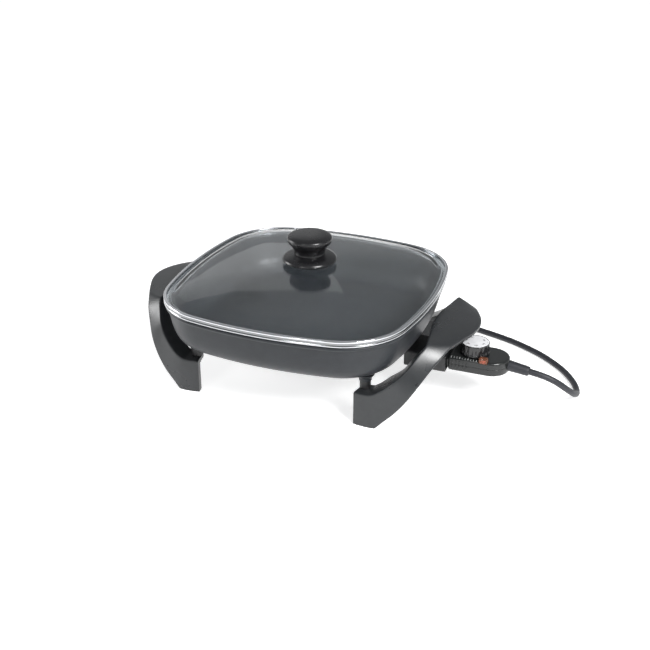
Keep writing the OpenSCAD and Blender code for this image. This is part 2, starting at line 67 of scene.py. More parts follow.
HALF_W = node_box("lid_band")[1].x
BASE_Z = node_box("skillet_pan")[0].z
RIM_Z = node_box("skillet_pan")[1].z
DOME_Z = node_box("knob_gasket")[0].z
KNOB_TOP_Z = node_box("lid_knob")[1].z
SKIRT_TOP_Z = node_box("lid_knob")[0].z
PROBE_Z = 50
SIDE_R = 480
CORNER_R = 82


# ---------- camera ----------
def add_camera():
    azimuth, elevation = math.radians(21.645), math.radians(26.296)
    distance = 1300
    target = Vector((17.08, 6.78, 56.36))
    back = Vector((math.sin(azimuth) * math.cos(elevation),
                   -math.cos(azimuth) * math.cos(elevation), math.sin(elevation)))
    data = bpy.data.cameras.new("camera")
    data.sensor_width = 36
    data.lens = 57.7
    data.clip_start = 0.01
    camera = bpy.data.objects.new("camera", data)
    camera.location = (target + distance * back) * MM
    camera.rotation_euler = (math.pi / 2 - elevation, 0, azimuth)
    bpy.context.scene.collection.objects.link(camera)
    bpy.context.scene.camera = camera


add_camera()


# ---------- curves ----------
def smooth_path(points, per_span):
    """Points on a centripetal Catmull-Rom curve through lists of equal length."""
    points = [Vector(p) for p in points]
    first, last = 2 * points[0] - points[1], 2 * points[-1] - points[-2]
    padded = [first] + points + [last]
    result = []
    for i in range(1, len(padded) - 2):
        p0, p1, p2, p3 = padded[i - 1:i + 3]
        t1 = max((p1 - p0).length, 1e-6) ** 0.5
        t2 = t1 + max((p2 - p1).length, 1e-6) ** 0.5
        t3 = t2 + max((p3 - p2).length, 1e-6) ** 0.5
        for k in range(per_span):
            t = t1 + (t2 - t1) * k / per_span
            a1 = p0.lerp(p1, t / t1)
            a2 = p1.lerp(p2, (t - t1) / (t2 - t1))
            a3 = p2.lerp(p3, (t - t2) / (t3 - t2))
            b1 = a1.lerp(a2, t / t2)
            b2 = a2.lerp(a3, (t - t1) / (t3 - t1))
            result.append(b1.lerp(b2, (t - t1) / (t2 - t1)))
    return result + [points[-1]]


def ease(t):
    t = min(max(t, 0), 1)
    return t * t * (3 - 2 * t)


# ---------- cord ----------
CORD_D = 7.5
COIL_C = Vector((45, 222))
COIL_R = 38
COIL_TURNS = 2
TURN_RISE = 7.6
LIE_Z = CORD_D / 2 + 0.15
CORD_EXIT = (276, 0, 46)
LEAD = [
    CORD_EXIT, (287, 0, 44.4), (298, 1, 41.4), (308, 4, 36), (316.5, 9, 28.5),
    (323, 17, 20), (327, 27, 12.4), (328, 39, 7), (326, 52, 4.4), (321, 66, LIE_Z),
    (312, 82, LIE_Z), (300, 98, LIE_Z), (285, 113, LIE_Z), (268, 127, LIE_Z),
    (249, 139, LIE_Z), (228, 150, LIE_Z), (205, 159, LIE_Z), (180, 167, LIE_Z),
    (154, 174, LIE_Z), (128, 179, LIE_Z), (102, 182.5, LIE_Z), (74, 184, LIE_Z),
    (COIL_C.x, COIL_C.y - COIL_R, LIE_Z)]
TAIL = [
    (36, 183.5, 18.6), (27, 183, 17.2), (18, 182.5, 15), (9, 182.5, 12.6), (0, 182.5, 10.6),
    (-9, 182.5, 9.8), (-18, 182.5, 9.6)]


def coil_turns(per_turn=48):
    """Each turn lies flat for its first half and climbs onto the turn below in its second."""
    points = []
    for k in range(1, COIL_TURNS * per_turn + 1):
        turn = k / per_turn
        angle = -math.pi / 2 - 2 * math.pi * turn
        whole = min(int(turn), COIL_TURNS - 1)
        climb = whole + ease((turn - whole - 0.45) / 0.55)
        points.append((COIL_C.x + COIL_R * math.cos(angle), COIL_C.y + COIL_R * math.sin(angle),
                       LIE_Z + TURN_RISE * climb))
    return points


def cord_path():
    coil = coil_turns()
    lead = smooth_path(LEAD, 5)
    tail = smooth_path([coil[-1]] + TAIL, 5)
    return lead + [Vector(p) for p in coil] + tail[1:]


def curve_piece(name, points, radius, resolution=8):
    data = bpy.data.curves.new(name, "CURVE")
    data.dimensions = "3D"
    data.bevel_depth = radius * MM
    data.bevel_resolution = resolution
    data.use_fill_caps = True
    spline = data.splines.new("POLY")
    spline.points.add(len(points) - 1)
    for point, at in zip(spline.points, points):
        point.co = (*(Vector(at) * MM), 1)
    piece = bpy.data.objects.new(name, data)
    bpy.context.scene.collection.objects.link(piece)
    return piece


# ---------- mesh building ----------
def mesh_piece(name, bm, sharp=40):
    """Makes an object from bm, which is in millimetres, smooth except at sharp edges."""
    bmesh.ops.recalc_face_normals(bm, faces=bm.faces)
    bmesh.ops.scale(bm, vec=(MM, MM, MM), verts=bm.verts)
    mesh = bpy.data.meshes.new(name)
    bm.to_mesh(mesh)
    bm.free()
    mesh.shade_smooth()
    mesh.set_sharp_from_angle(angle=math.radians(sharp))
    piece = bpy.data.objects.new(name, mesh)
    bpy.context.scene.collection.objects.link(piece)
    return piece


def add_loft(bm, rings, closed=False):
    """Adds the skin through rings of equal length. Open ends are capped."""
    rows = [[bm.verts.new(p) for p in ring] for ring in rings]
    pairs = list(zip(rows, rows[1:]))
    if closed:
        pairs.append((rows[-1], rows[0]))
    for low, high in pairs:
        for j in range(len(low)):
            k = (j + 1) % len(low)
            bm.faces.new((low[j], low[k], high[k], high[j]))
    if not closed:
        bm.faces.new(rows[0])
        bm.faces.new(rows[-1])


def loft(name, rings, closed=False, sharp=40):
    bm = bmesh.new()
    add_loft(bm, rings, closed)
    return mesh_piece(name, bm, sharp)


def circle(radius, z, centre=(0, 0), count=96):
    return [(centre[0] + radius * math.cos(2 * math.pi * i / count),
             centre[1] + radius * math.sin(2 * math.pi * i / count), z) for i in range(count)]


def rounded_profile(corners, per_corner=4):
    """Replaces each (r, z, fillet) corner of an open profile by a curve of that size."""
    points = []
    for i, corner in enumerate(corners):
        at = Vector(corner[:2])
        size = corner[2] if len(corner) > 2 else 0
        if size == 0 or i in (0, len(corners) - 1):
            points.append(at)
            continue
        before = Vector(corners[i - 1][:2]) - at
        after = Vector(corners[i + 1][:2]) - at
        a = at + before.normalized() * min(size, before.length * 0.49)
        b = at + after.normalized() * min(size, after.length * 0.49)
        for k in range(per_corner + 1):
            t = k / per_corner
            points.append(a.lerp(at, t).lerp(at.lerp(b, t), t))
    return points


def add_lathe(bm, profile, centre=(0, 0), count=96, closed=False):
    """Turns a profile of (r, z) about an upright axis."""
    add_loft(bm, [circle(p[0], p[1], centre, count) for p in profile], closed)


def rounded_rect(half_w, half_h, radius, per_corner=6):
    """Points round a rectangle with rounded corners, about the origin."""
    points = []
    for corner, (sx, sy) in enumerate(((1, 1), (-1, 1), (-1, -1), (1, -1))):
        for k in range(per_corner + 1):
            angle = math.pi / 2 * (corner + k / per_corner)
            points.append((sx * (half_w - radius) + radius * math.cos(angle),
                           sy * (half_h - radius) + radius * math.sin(angle)))
    return points


def cut(piece, tool, operation="DIFFERENCE"):
    """Applies a boolean with a throwaway tool."""
    modifier = piece.modifiers.new("cut", "BOOLEAN")
    modifier.operation = operation
    modifier.solver = "EXACT"
    modifier.object = tool
    depsgraph = bpy.context.evaluated_depsgraph_get()
    mesh = bpy.data.meshes.new_from_object(piece.evaluated_get(depsgraph))
    piece.modifiers.clear()
    piece.data = mesh
    mesh.shade_smooth()
    mesh.set_sharp_from_angle(angle=math.radians(35))
    bpy.data.objects.remove(tool)


# ---------- materials ----------
class Surface:
    """One procedural material. Patterns are laid out in the object's own space, in metres."""

    def __init__(self, name, colour, roughness, metallic=0, **sockets):
        self.material = bpy.data.materials.new(name)
        self.material.use_nodes = True
        self.material.diffuse_color = (*colour, 1)
        self.tree = self.material.node_tree
        self.shader = self.tree.nodes["Principled BSDF"]
        self.colour = colour
        self.roughness = roughness
        self.set("Base Color", (*colour, 1))
        self.set("Roughness", roughness)
        self.set("Metallic", metallic)
        for socket, value in sockets.items():
            self.set(socket.replace("_", " "), value)
        self.coordinates = self.tree.nodes.new("ShaderNodeTexCoord").outputs["Object"]
        self.normal = None

    def set(self, socket, value):
        self.shader.inputs[socket].default_value = value

    def noise(self, scale, detail=4, stretch=(1, 1, 1)):
        """A noise value from 0 to 1, with about scale features in a metre."""
        mapping = self.tree.nodes.new("ShaderNodeMapping")
        mapping.inputs["Scale"].default_value = stretch
        self.tree.links.new(self.coordinates, mapping.inputs["Vector"])
        noise = self.tree.nodes.new("ShaderNodeTexNoise")
        noise.inputs["Scale"].default_value = scale
        noise.inputs["Detail"].default_value = detail
        noise.inputs["Roughness"].default_value = 0.6
        self.tree.links.new(mapping.outputs["Vector"], noise.inputs["Vector"])
        return noise.outputs["Fac"]

    def spread(self, value, low, high, start=0.3, end=0.7):
        """Maps a value onto low to high."""
        node = self.tree.nodes.new("ShaderNodeMapRange")
        node.inputs["From Min"].default_value = start
        node.inputs["From Max"].default_value = end
        node.inputs["To Min"].default_value = low
        node.inputs["To Max"].default_value = high
        self.tree.links.new(value, node.inputs["Value"])
        return node.outputs["Result"]

    def mottle(self, scale, amount, detail=4, stretch=(1, 1, 1)):
        """Varies the colour a little, lighter and darker."""
        self.tint(self.noise(scale, detail, stretch), [c * (1 - amount) for c in self.colour],
                  [min(c * (1 + amount), 1) for c in self.colour])
        return self

    def tint(self, value, dark, light, start=0.3, end=0.7):
        mix = self.tree.nodes.new("ShaderNodeMix")
        mix.data_type = "RGBA"
        factor = self.spread(value, 0, 1, start, end)
        self.tree.links.new(factor, mix.inputs["Factor"])
        socket = self.shader.inputs["Base Color"]
        if socket.is_linked:
            self.tree.links.new(socket.links[0].from_socket, mix.inputs["A"])
        else:
            mix.inputs["A"].default_value = (*dark, 1)
        mix.inputs["B"].default_value = (*light, 1)
        self.tree.links.new(mix.outputs["Result"], socket)
        return self

    def stripe(self, low, high, soft, colour):
        """Colours a level band between two heights, in millimetres."""
        split = self.tree.nodes.new("ShaderNodeSeparateXYZ")
        self.tree.links.new(self.coordinates, split.inputs["Vector"])
        rise = self.spread(split.outputs["Z"], 0, 1, (low - soft) * MM, low * MM)
        fall = self.spread(split.outputs["Z"], 1, 0, high * MM, (high + soft) * MM)
        both = self.tree.nodes.new("ShaderNodeMath")
        both.operation = "MULTIPLY"
        self.tree.links.new(rise, both.inputs[0])
        self.tree.links.new(fall, both.inputs[1])
        return self.tint(both.outputs["Value"], None, colour, 0, 1)

    def wear(self, scale, amount, detail=5, stretch=(1, 1, 1)):
        """Varies the roughness, as handling and cleaning do."""
        value = self.spread(self.noise(scale, detail, stretch), self.roughness - amount,
                            self.roughness + amount)
        self.tree.links.new(value, self.shader.inputs["Roughness"])
        return self

    def grain(self, scale, depth, strength=0.5, detail=3, stretch=(1, 1, 1)):
        """Raises a fine pattern, depth millimetres deep, over those already there."""
        bump = self.tree.nodes.new("ShaderNodeBump")
        bump.inputs["Strength"].default_value = strength
        bump.inputs["Distance"].default_value = depth * MM
        self.tree.links.new(self.noise(scale, detail, stretch), bump.inputs["Height"])
        if self.normal:
            self.tree.links.new(self.normal, bump.inputs["Normal"])
        self.normal = bump.outputs["Normal"]
        self.tree.links.new(self.normal, self.shader.inputs["Normal"])
        return self


def coating():
    """Non-stick coating: satin charcoal with fine paler flecks."""
    surface = Surface("pan_coating", (0.022, 0.0245, 0.028), 0.40, Specular_IOR_Level=0.3)
    surface.mottle(90, 0.10)
    surface.tint(surface.noise(2600, 2), None, (0.055, 0.06, 0.066), 0.62, 0.74)
    return surface.wear(25, 0.05).grain(1500, 0.02, 0.35).grain(60, 0.02, 0.15)


def moulded(name, colour, roughness, depth=0.02, **sockets):
    """Moulded plastic with a fine spark-eroded grain."""
    surface = Surface(name, colour, roughness, **sockets)
    surface.mottle(140, 0.08)
    return surface.wear(30, 0.05).grain(2200, depth, 0.4)


def gloss(name, colour, roughness, coat=0.3):
    """Polished plastic with faint ripples and handling marks."""
    surface = Surface(name, colour, roughness, Coat_Weight=coat, Coat_Roughness=0.08)
    surface.mottle(120, 0.06)
    return surface.wear(45, 0.04).grain(160, 0.01, 0.12)


def steel(name, colour, roughness, stretch):
    """Rolled or turned metal with fine lines along its length."""
    lines = 900
    surface = Surface(name, colour, roughness, 1)
    surface.mottle(70, 0.04)
    return surface.wear(lines, 0.05, 3, stretch).grain(lines, 0.006, 0.25, 2, stretch)


def casting(name, colour):
    """Bare cast metal, dull and slightly pitted."""
    surface = Surface(name, colour, 0.5, 1)
    surface.mottle(160, 0.12)
    return surface.wear(80, 0.08).grain(900, 0.05, 0.5)


def band_steel():
    """Rolled polished steel, with the groove between its beads painted darker as a painted dark
    reflection.
    """
    surface = Surface("band_steel", (0.66, 0.67, 0.69), 0.17, 1)
    surface.mottle(60, 0.05)
    # painted reflection: this darker stripe stands in for the dark reflection that lies along the
    # groove
    surface.stripe(RIM_Z + 3.2, RIM_Z + 6, 0.6, (0.24, 0.245, 0.25))
    return surface.wear(40, 0.04).grain(300, 0.006, 0.2, 2)


def clear_glass():
    surface = Surface("lid_glass", (0.93, 0.96, 0.97), 0.03, Transmission_Weight=1, IOR=1.46,
                      Specular_IOR_Level=0.22)
    surface.wear(18, 0.012).grain(14, 0.06, 0.12)
    return surface


# glow is the emission strength: real light for the lamp, painted light for the lens
def lens(name, colour, glow):
    surface = Surface(name, colour, 0.12, Transmission_Weight=0.55, IOR=1.49,
                      Emission_Color=(1.0, 0.33, 0.10, 1), Emission_Strength=glow)
    surface.mottle(260, 0.12)
    return surface.grain(900, 0.05, 0.3)


MATERIALS = {
    "pan_coating": coating(),
    "cast_metal": casting("cast_metal", (0.52, 0.52, 0.53)),
    "element_sheath": casting("element_sheath", (0.14, 0.125, 0.12)),
    "bright_steel": steel("bright_steel", (0.72, 0.72, 0.73), 0.16, (6, 1, 1)),
    "insulator": moulded("insulator", (0.78, 0.76, 0.70), 0.6, 0.05),
    "black_phenolic": moulded("black_phenolic", (0.013, 0.013, 0.014), 0.42, 0.03),
    "screw_steel": steel("screw_steel", (0.50, 0.50, 0.51), 0.3, (1, 1, 5)),
    "grey_phenolic": moulded("grey_phenolic", (0.024, 0.026, 0.028), 0.3, 0.012),
    "lid_glass": clear_glass(),
    "band_steel": band_steel(),
    "gasket_rubber": moulded("gasket_rubber", (0.012, 0.012, 0.012), 0.6, 0.04),
    "knob_black": moulded("knob_black", (0.008, 0.008, 0.009), 0.27, 0.008),
    "insert_brass": steel("insert_brass", (0.72, 0.53, 0.25), 0.25, (1, 1, 4)),
    "control_black": gloss("control_black", (0.010, 0.0112, 0.0112), 0.3, 0.12),
    # The lens's faint emission is painted light, a glow standing in for the lit lamp behind it
    "lens_orange": lens("lens_orange", (0.22, 0.078, 0.038), 0.015),
    "lamp_glow": lens("lamp_glow", (1.0, 0.45, 0.2), 2.2),
    "insulator_board": moulded("insulator_board", (0.22, 0.13, 0.07), 0.5, 0.05),
    "contact_bronze": steel("contact_bronze", (0.60, 0.36, 0.20), 0.3, (1, 6, 1)),
    "lead_white": moulded("lead_white", (0.74, 0.73, 0.69), 0.7, 0.15),
    "print_white": moulded("print_white", (0.46, 0.47, 0.47), 0.5),
    "cord_black": moulded("cord_black", (0.017, 0.018, 0.023), 0.5, 0.04),
    "dial_black": gloss("dial_black", (0.010, 0.010, 0.011), 0.2),
    "dial_white": moulded("dial_white", (0.88, 0.88, 0.90), 0.4),
    "dial_print": moulded("dial_print", (0.02, 0.02, 0.02), 0.5),
    "tie_black": moulded("tie_black", (0.015, 0.015, 0.015), 0.5, 0.04),
    "plug_black": moulded("plug_black", (0.016, 0.016, 0.018), 0.38, 0.04),
}


def place(piece, body, slot, *nodes):
    """Gives a piece its material and body, and lets it stand for CAD nodes."""
    piece.data.materials.clear()
    piece.data.materials.append(MATERIALS[slot].material)
    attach(piece, body)
    if nodes:
        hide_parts(*nodes)
    return piece


# ---------- rounded-square outline ----------
SIDE_K = SIDE_R - HALF_W
CORNER_C = (-2 * SIDE_K + math.sqrt(8 * (SIDE_R - CORNER_R) ** 2 - 4 * SIDE_K ** 2)) / 4
MEET = math.atan2(CORNER_C, CORNER_C + SIDE_K)   # where a side arc meets a corner arc


def outline(inset, z, side_steps=16, corner_steps=28):
    angles = [-MEET + 2 * MEET * i / side_steps for i in range(side_steps)]
    angles += [MEET + (math.pi / 2 - 2 * MEET) * i / corner_steps for i in range(corner_steps)]
    quarter = []
    for a in angles:
        if a < MEET:
            centre, radius = Vector((HALF_W - SIDE_R, 0)), SIDE_R - inset
        else:
            centre, radius = Vector((CORNER_C, CORNER_C)), CORNER_R - inset
        quarter.append(centre + radius * Vector((math.cos(a), math.sin(a))))
    points = []
    for side in range(4):
        spin = Matrix.Rotation(side * math.pi / 2, 2)
        points += [(*(spin @ p), z) for p in quarter]
    return points


# ---------- pan ----------
def make_pan():
    """Sections are (inset from the band's outer face, height above the pan's base)."""
    depth = RIM_Z - BASE_Z
    section = [
        (47, 0), (38, 0.5), (29, 2.2), (21, 5.8), (15, 11), (11, 18), (8.2, 27), (5.8, 39),
        (4.2, 47), (3.6, 48.6), (1.8, 49.4), (1, 51), (1.7, 52.8), (3.4, depth),
        (7.2, depth - 0.2), (8.3, 51.4), (9.4, 42), (12, 29), (15, 20), (19.5, 13), (27, 7),
        (36, 4.8), (47, 4)]
    rings = [outline(p[0], BASE_Z + p[1]) for p in smooth_path(section, 4)]
    return loft("skillet_pan_shell", rings)


place(make_pan(), "skillet", "pan_coating", "skillet_pan")


# ---------- lid ----------
def make_band():
    """The rolled band: two beads with a groove between them, gripping the glass's edge."""
    section = [
        (3, 1), (1, 1), (0.2, 1.4), (0, 2.1), (0.3, 2.9), (0.7, 3.6), (0.8, 4.6),
        (0.6, 5.6), (0.15, 6.4), (0, 7.2), (0.25, 8), (0.9, 8.5), (2, 8.7), (3.1, 8.6),
        (3.8, 8.1), (3.5, 7.4), (2.2, 6.9), (1.9, 6.2), (1.9, 2.9), (2.3, 2.2), (9.6, 1.9),
        (10.2, 1.3), (10.2, -2.6), (9.8, -3), (9.3, -2.6), (9.2, 0.5), (8.8, 1)]
    rings = [outline(p[0], RIM_Z + p[1]) for p in smooth_path(section + section[:1], 3)[:-1]]
    return loft("lid_band_rolled", rings, closed=True, sharp=60)


def make_glass():
    """A dome, round at the knob's hole and square at its edge."""
    hole_r = 4
    rise = DOME_Z - RIM_Z - 27.6
    top = [(1, 6.6), (0.98, 6.9), (0.965, 7.6), (0.935, 10), (0.89, 12.9), (0.8, 16.8),
           (0.66, 20.7), (0.48, 24), (0.28, 26.4), (0.12, 27.5), (0, 27.6)]
    under = [(0, 23.6), (0.12, 23.5), (0.28, 22.4), (0.48, 20), (0.66, 16.7), (0.8, 12.8),
             (0.885, 8.8), (0.925, 5.6), (0.95, 3.4), (0.97, 2.7), (1, 2.6)]
    edge = outline(2.4, 0)
    rings = []
    for share, height in smooth_path(top, 3) + smooth_path(under, 3):
        ring = []
        for x, y, _ in edge:
            hole = Vector((x, y)).normalized() * hole_r
            at = hole.lerp(Vector((x, y)), share)
            ring.append((*at, RIM_Z + height + rise * (1 - share)))
        rings.append(ring)
    return loft("lid_glass_dome", rings, closed=True, sharp=50)


place(make_band(), "lid", "band_steel", "lid_band")
# Clear glass casts no shadow worth showing, and the pan under it has to be lit
place(make_glass(), "lid", "lid_glass", "lid_glass").visible_shadow = False


# ---------- knob ----------
def make_knob_skirt():
    low = DOME_Z + 2.4
    profile = rounded_profile([
        (3, low), (30.8, low, 0.8), (33.2, low + 1, 1), (33.4, low + 2.8, 1.4),
        (31.6, low + 5.6, 2.4), (27, low + 8, 3), (21, low + 9.4, 2),
        (19.4, low + 9.6, 0.4), (3, low + 9.6)])
    bm = bmesh.new()
    add_lathe(bm, profile, closed=True)
    return mesh_piece("knob_skirt_turned", bm)


def make_knob_cap():
    low = SKIRT_TOP_Z
    top = KNOB_TOP_Z - low
    profile = rounded_profile([
        (4.2, low), (18.8, low, 0.4), (18.4, low + 2.2, 2), (19.4, low + 6, 3),
        (22.6, low + 10.4, 4), (26.4, low + 14.4, 3), (27.7, low + 18, 3),
        (26.8, low + 21.4, 2.4), (22.2, low + 23.7, 3), (12.5, low + top - 0.2, 6),
        (0.4, low + top), (0.4, low + top - 0.6), (4.2, low + 12.8)])
    bm = bmesh.new()
    add_lathe(bm, profile, closed=True)
    return mesh_piece("lid_knob_turned", bm)


place(make_knob_skirt(), "lid", "knob_black", "knob_skirt")
place(make_knob_cap(), "lid", "knob_black", "lid_knob")


# ---------- handles ----------
GRIP_X = node_box("right_handle")[1].x
GRIP_Z = 95
GRIP_T = 5.5
FLANGE_Z = 42
FLANGE_T = 5
# Stations from the foot's inner end to the middle of the grip:
# outer edge (x, y, z), inner edge (x, y, z), thickness, depth of the top flange
HALF_HANDLE = [
    (99, -113, -4, 99, -113, FLANGE_Z, 8.5, 24),
    (108, -114.6, -4, 108, -114.6, FLANGE_Z, 8.5, 25),
    (121, -115, -4, 119, -115, FLANGE_Z + 1, 8.5, 25),
    (134, -113, 8, 129, -113, 48, 8, 23),
    (147, -110, 21, 140, -108, 56, 7.5, 26),
    (159, -105, 36, 150, -101, 65, 7, 24),
    (170, -97, 53, 158, -93, 75, 6.5, 20),
    (180, -84, 69, 164, -83, 85, 6, 16),
    (188.5, -71, 80.5, 168, -75, 91, 6, 12),
    (194.5, -58, GRIP_Z - 7, 170, -68, GRIP_Z, GRIP_T, 9),
    (197, -52.5, GRIP_Z - 4.8, 169, -65, GRIP_Z + 0.4, GRIP_T, 8),
    (203.5, -38, GRIP_Z - 2, 165, -40, GRIP_Z + 1, GRIP_T, GRIP_T + 0.6),
    (211, -19, GRIP_Z - 0.8, 161.5, -20, GRIP_Z + 1.4, GRIP_T, GRIP_T + 0.6),
    (GRIP_X, 0, GRIP_Z - 0.4, 160.5, 0, GRIP_Z + 1.6, GRIP_T, GRIP_T + 0.6)]


def flipped(station):
    """A station mirrored to the other end of the handle."""
    s = list(station)
    s[1], s[4] = -s[1], -s[4]
    return s


def handle_stations(per_span=6):
    whole = HALF_HANDLE + [flipped(s) for s in reversed(HALF_HANDLE[:-1])]
    return smooth_path(whole, per_span)


def handle_section(length, thick, flange):
    """The ribbon's section, as (along the face, behind the face)."""
    lip = min(FLANGE_T, length / 3)
    crown = 0.4
    face = [(length * t, -crown * 4 * t * (1 - t)) for t in (0.12, 0.3, 0.5, 0.7, 0.88)]
    corners = [
        (0, thick * 0.6), (0, 0, 1.8), *face, (length, 0, 2), (length, flange, 0.9),
        (length - lip, flange, 0.9), (length - lip, thick, 1.2), (0.8, thick, 1),
        (0, thick * 0.6)]
    return rounded_profile(corners, 3)[:-1]


def make_handle(name, side):
    stations = handle_stations()
    rings = []
    for i, s in enumerate(stations):
        outer, inner, thick, flange = Vector(s[0:3]), Vector(s[3:6]), s[6], s[7]
        before, after = stations[max(i - 1, 0)], stations[min(i + 1, len(stations) - 1)]
        along = sum((Vector(after[j:j + 3]) - Vector(before[j:j + 3]) for j in (0, 3)), Vector())
        across = (inner - outer).normalized()
        facing = along.cross(across).normalized()
        rings.append([outer + across * a - facing * b
                      for a, b in handle_section((inner - outer).length, thick, flange)])
    for i, j, shift in ((0, 1, 1), (-1, -2, -1)):
        middle = sum((Vector(p) for p in rings[i]), Vector()) / len(rings[i])
        rings[i] = [p + (middle - p).normalized() * 0.8 for p in rings[i]]
    bm = bmesh.new()
    add_loft(bm, [[(p.x * side, p.y, p.z) for p in ring] for ring in rings])
    cut_feet(bm)
    return mesh_piece(name, bm, 50)


def cut_feet(bm):
    """Cuts the feet flat at the worktop and closes the cuts."""
    geometry = bm.verts[:] + bm.edges[:] + bm.faces[:]
    found = bmesh.ops.bisect_plane(bm, geom=geometry, plane_co=(0, 0, 0), plane_no=(0, 0, -1),
                                   clear_outer=True)
    rim = [e for e in found["geom_cut"] if isinstance(e, bmesh.types.BMEdge)]
    bmesh.ops.holes_fill(bm, edges=rim)


place(make_handle("right_handle_moulded", 1), "skillet", "grey_phenolic", "right_handle")
place(make_handle("left_handle_moulded", -1), "skillet", "grey_phenolic", "left_handle")


# ---------- under the pan ----------
SCREW_X = 108                     # where a handle's screw stands
SCREW_Y = 98
PIN_Y = 9.5                       # each terminal's distance from the middle
ELEMENT_Z = BASE_Z - 4.4
LOOP_W = 76                       # half width of the heater's loop
LOOP_R = 40                       # radius of its corners
BEND_R = 10                       # radius where a cold end joins the loop
TUBE_R = 3.2
GUARD_X = (130, 181)              # the guard's closed end and its mouth
GUARD_W = 24                      # half its width
EAR_X = 118.5                     # middle of a screw ear
EAR_SCREW_X = 114
EAR_Y = 20


def make_bosses():
    """Each handle's screw boss, flaring into the pan's base."""
    low = node_box("pan_bosses")[0].z
    profile = rounded_profile([
        (2, low), (7.4, low, 0.8), (7.7, BASE_Z - 2.4, 2), (10.5, BASE_Z + 0.4),
        (10.5, BASE_Z + 1.6), (2, BASE_Z + 1.6)])
    bm = bmesh.new()
    for x in (-SCREW_X, SCREW_X):
        for y in (-SCREW_Y, SCREW_Y):
            add_lathe(bm, profile, (x, y), 48, closed=True)
    return mesh_piece("pan_bosses_cast", bm)


def arc_points(centre, radius, start, end, z, count=10):
    angles = [math.radians(start + (end - start) * k / count) for k in range(count + 1)]
    return [(centre[0] + radius * math.cos(a), centre[1] + radius * math.sin(a), z)
            for a in angles]


def make_element():
    """The heater's tube: one cold end, round the loop, and back to the other."""
    z = ELEMENT_Z
    straight = LOOP_W - LOOP_R
    half = [(127, -PIN_Y, PROBE_Z), (124, -PIN_Y, PROBE_Z), (121, -PIN_Y, PROBE_Z + 0.8),
            (114, -PIN_Y, z - 0.6), (110, -PIN_Y, z)]
    half += arc_points((LOOP_W + BEND_R, -PIN_Y - BEND_R), BEND_R, 90, 180, z)
    half += arc_points((straight, -straight), LOOP_R, 0, -90, z)
    half += arc_points((-straight, -straight), LOOP_R, -90, -180, z)
    return smooth_path(half + [(x, -y, h) for x, y, h in reversed(half)], 3)


def make_guard():
    """The box round the terminals: open towards the control, with two screw ears."""
    low, high = node_box("socket_guard")
    middle = (low.z + high.z) / 2
    start, end = GUARD_X
    rings = []
    for x, grow in ((start, -0.8), (start + 0.4, -0.2), (start + 1.2, 0), (end - 0.8, 0),
                    (end - 0.2, -0.3), (end, -0.8), (end, -1.6), (end - 0.6, -2.2),
                    (start + 2.6, -2.2)):
        rings.append([(x, y, middle + z) for y, z in
                      rounded_rect(GUARD_W + grow, (high.z - low.z) / 2 + grow, 3 + grow)])
    bm = bmesh.new()
    add_loft(bm, rings)
    piece = mesh_piece("socket_guard_moulded", bm)
    holes = bmesh.new()
    for y, radius in ((-PIN_Y, 3.8), (0, 5.2), (PIN_Y, 3.8)):
        add_loft(holes, [[(x, y + p, PROBE_Z + q) for p, q, _ in circle(radius, 0, count=32)]
                         for x in (start - 2, start + 5)])
    cut(piece, mesh_piece("tool", holes))
    ears = bmesh.new()
    for y in (-EAR_Y, EAR_Y):
        add_loft(ears, [[(EAR_X + p, y + q, z) for p, q in rounded_rect(half, 6 + grow, 4)]
                        for z, half, grow in ((high.z - 3.5, 11.2, -0.4), (high.z - 3, 11.5, 0),
                                              (high.z - 0.4, 11.5, 0), (high.z, 11.2, -0.4))])
    cut(piece, mesh_piece("tool", ears), "UNION")
    bores = bmesh.new()
    for y in (-EAR_Y, EAR_Y):
        add_lathe(bores, [(2.2, high.z - 6), (2.2, high.z + 2)], (EAR_SCREW_X, y), 24)
    cut(piece, mesh_piece("tool", bores))
    return piece


place(make_bosses(), "skillet", "pan_coating", "pan_bosses")
place(curve_piece("heating_element_tube", make_element(), TUBE_R, 6), "skillet",
      "element_sheath", "heating_element")
place(make_guard(), "skillet", "black_phenolic", "socket_guard")


# ---------- temperature control ----------
BODY_X = 183.5                    # where the wide housing starts
END_X = 230                       # centre of its round end
HALF_CONTROL = 22                 # half its width
CONTROL_H = 8.8                   # half its thickness
NOSE_X = 141                      # end of the part that enters the guard
NOSE_W = 19
NOSE_H = 5.6
RIBS = 5
RIB_X = 188.7                     # first grip rib
RIB_PITCH = 4.3
MARKS = 10
MARK_X = 187.2                    # first printed mark
MARK_PITCH = 3.3
DIAL = (210, 0)
DIAL_R = 17.4
FACE_R = DIAL_R - 1.6
FLUTES = 18
FIRST_ANGLE = -235                # direction of the lowest temperature
TICK_TURN = 27                    # degrees between ticks; every second one has a number
TICK_START_R = (13.3, 13.7)       # with a number, and without
TICK_END_R = 14.6
NUMBERS = 6
NUMBER_R = 10.9
FIRST_NUMBER = 150
NUMBER_STEP = 50
DIAL_BASE_Z = node_box("dial_knob")[0].z
DIAL_TOP_Z = node_box("dial_knob")[1].z
LENS_X = (219.6, 230.2)
LENS_C = (sum(LENS_X) / 2, -18.7)
LENS_Z = node_box("indicator_lens")[0].z
WINDOW_C = (LENS_C[0], -20.5)     # the lens's opening, which also cuts the front edge
SCREWS = ((174, -13.8, NOSE_H), (174, 13.8, NOSE_H), (236, 0, CONTROL_H))
# The housing's rounded edge: (inset from the side, height above the middle)
HOUSING_EDGE = [(0.12, 0.1), (0, 0.22), (0, CONTROL_H - 2.8), (0.2, CONTROL_H - 1.7),
                (0.75, CONTROL_H - 0.8), (1.6, CONTROL_H - 0.22), (2.7, CONTROL_H),
                (3.4, CONTROL_H)]


def housing(inset, z):
    """Outline of the housing: square towards the nose, round towards the cord."""
    w = HALF_CONTROL - inset
    r = max(3 - inset, 0.4)
    x = BODY_X + inset + r
    end = arc_points((END_X, 0), w, -90, 90, z, 36)
    rear = arc_points((x, w - r), r, 90, 180, z, 5)
    return end + rear + arc_points((x, r - w), r, 180, 270, z, 5)


